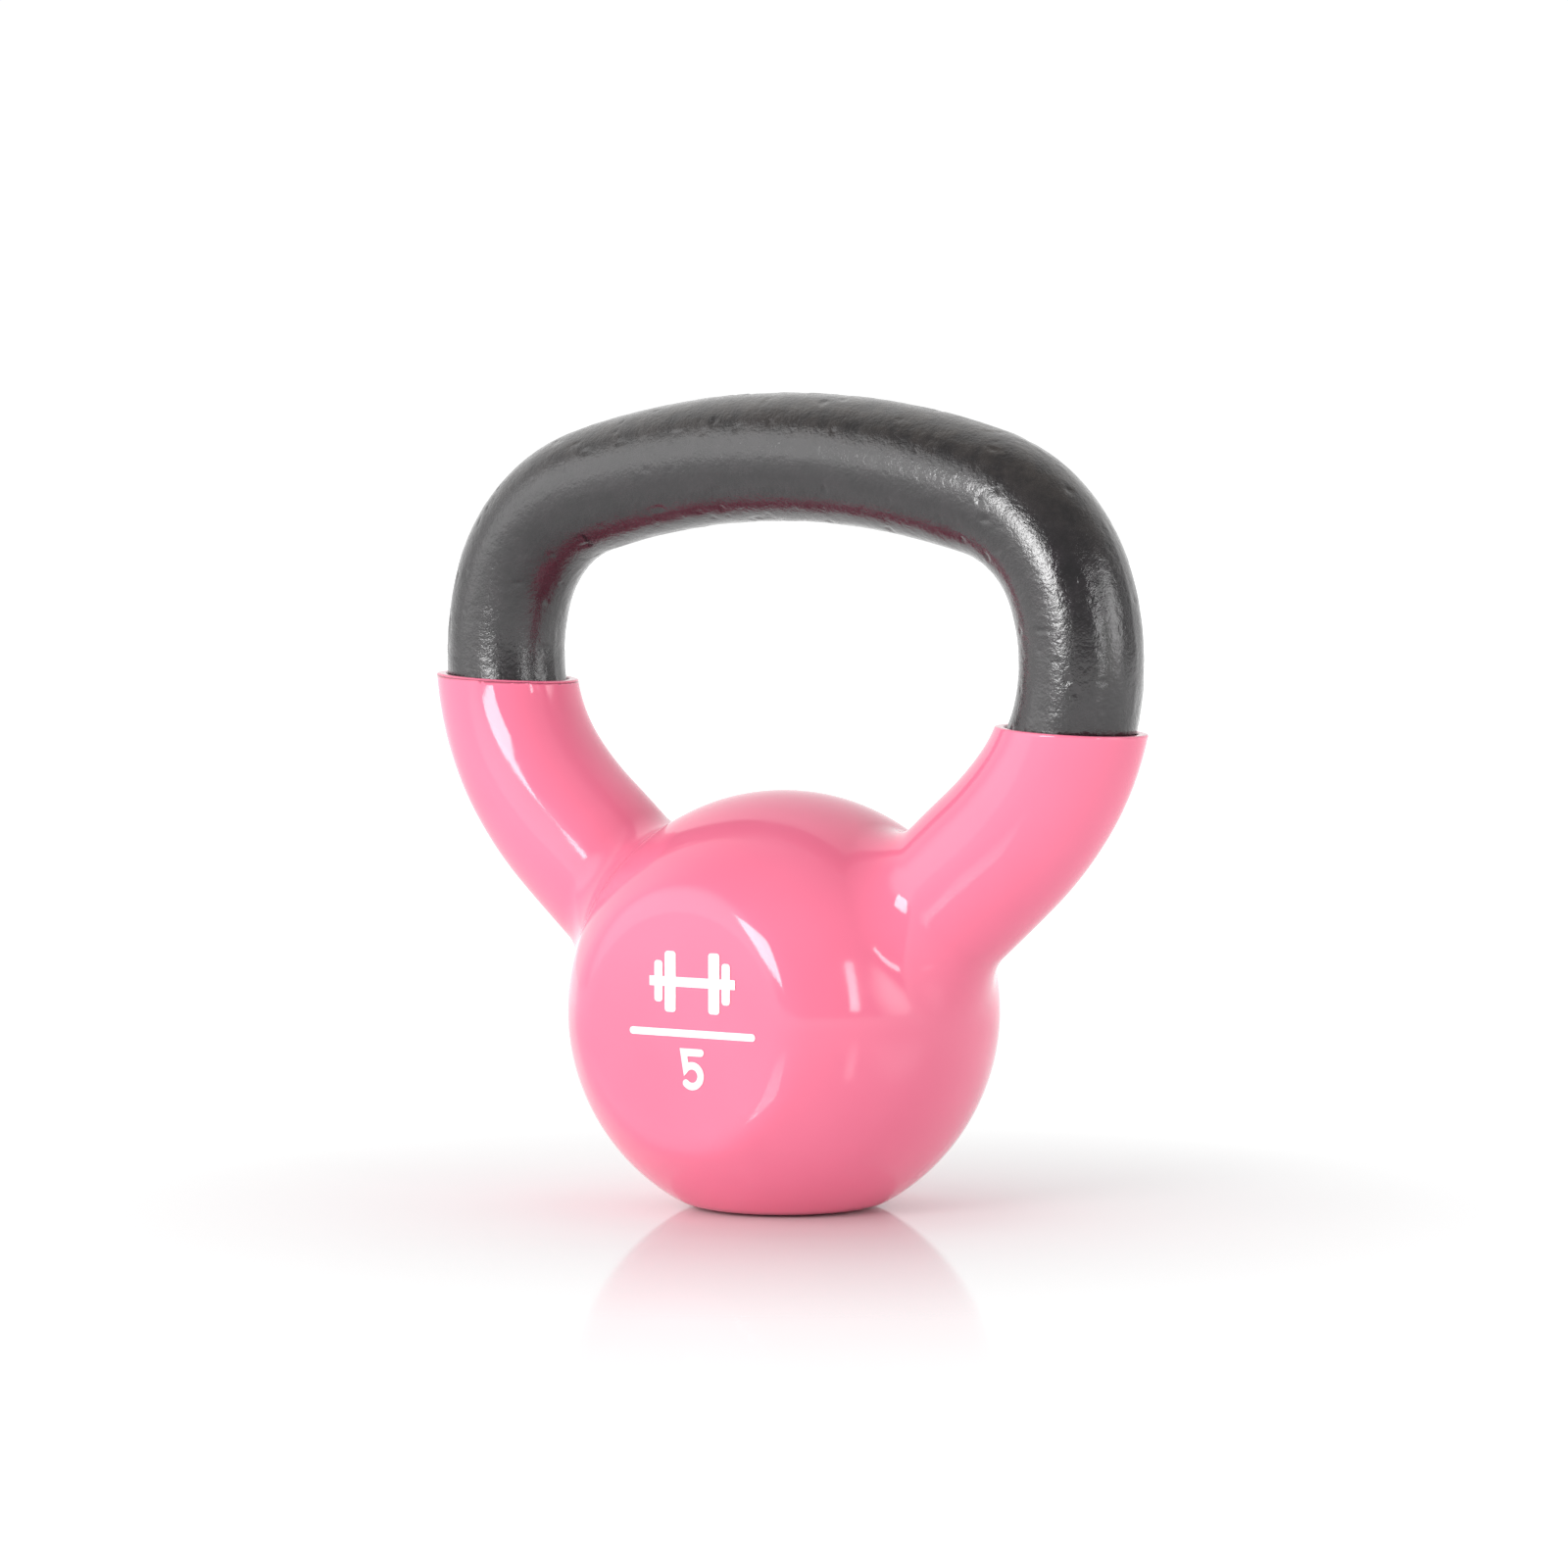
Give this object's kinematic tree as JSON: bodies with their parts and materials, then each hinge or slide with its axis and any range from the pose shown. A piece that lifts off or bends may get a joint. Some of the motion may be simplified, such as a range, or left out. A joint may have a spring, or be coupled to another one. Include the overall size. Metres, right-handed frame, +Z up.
{
  "type": "kettlebell",
  "caption": "Small kettlebell: cast-iron ball and closed bare grip, with a glossy vinyl jacket dipped over the ball and horns, and flat front, back and base.",
  "frame": {"origin": "centre of the flat base, on the surface it stands on", "axes": "+X along the grip's top bar, -Y out of the printed front disc, +Z up through the grip"},
  "size_m": [0.1471, 0.0637, 0.1447],
  "materials": {
    "enamelled_iron": "thin black semi-gloss enamel over as-cast grain",
    "pink_vinyl": "smooth high gloss",
    "white_ink": "satin printed film"
  },
  "bodies": {
    "root": {"iron_casting": "enamelled_iron", "vinyl_jacket": "pink_vinyl", "dumbbell_emblem": "white_ink", "emblem_rule": "white_ink", "weight_numeral": "white_ink"}
  },
  "joints": []
}
